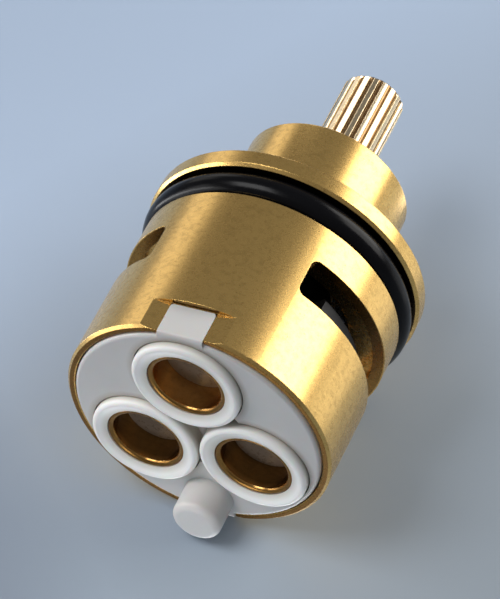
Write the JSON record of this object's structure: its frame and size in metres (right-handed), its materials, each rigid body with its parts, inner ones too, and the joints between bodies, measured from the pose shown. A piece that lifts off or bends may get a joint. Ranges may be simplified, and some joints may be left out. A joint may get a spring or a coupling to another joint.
{
  "type": "diverter valve",
  "caption": "Brass cartridge that diverts water: a splined stem turns a ceramic disc over sealed ports in its white base plate, fed through windows in the sleeve.",
  "frame": {"origin": "on the cartridge axis, in the plane of the base plate's outer face, where the cartridge seats in its valve body", "axes": "+Z along the stem, from the base plate to the splined end; +Y towards the locating peg; -Y towards the anti-rotation tab over port 1"},
  "size_m": [0.035, 0.035, 0.0608],
  "materials": {
    "sleeve_brass": "satin, turned",
    "stem_brass": "bright, turned",
    "bush_brass": "polished",
    "black_rubber": "smooth, slightly glossy",
    "white_acetal": "satin moulded",
    "white_seal": "smooth satin",
    "black_acetal": "satin moulded",
    "disc_ceramic": "lapped",
    "spring_steel": "bright",
    "ball_steel": "polished",
    "white_ptfe": "smooth"
  },
  "bodies": {
    "body": {"body_sleeve": "sleeve_brass", "body_o_ring": "black_rubber", "base_plate": "white_acetal", "stop_ring": "black_acetal", "disc_spring": "spring_steel", "slip_washer": "white_ptfe", "port_bush_1": "bush_brass", "port_seal_1": "white_seal", "port_bush_2": "bush_brass", "port_seal_2": "white_seal", "port_bush_3": "bush_brass", "port_seal_3": "white_seal"},
    "rotor": {"stem": "stem_brass", "stem_o_ring_1": "black_rubber", "stem_o_ring_2": "black_rubber", "driver": "black_acetal", "ceramic_disc": "disc_ceramic", "detent_ball_1": "ball_steel", "detent_ball_2": "ball_steel", "detent_spring_1": "spring_steel", "detent_spring_2": "spring_steel"}
  },
  "joints": [
    {"name": "stem_turn", "type": "hinge", "parent": "body", "child": "rotor", "pos_m": [0, 0, 0], "axis": [0, 0, 1], "range_deg": [-60, 180]}
  ]
}
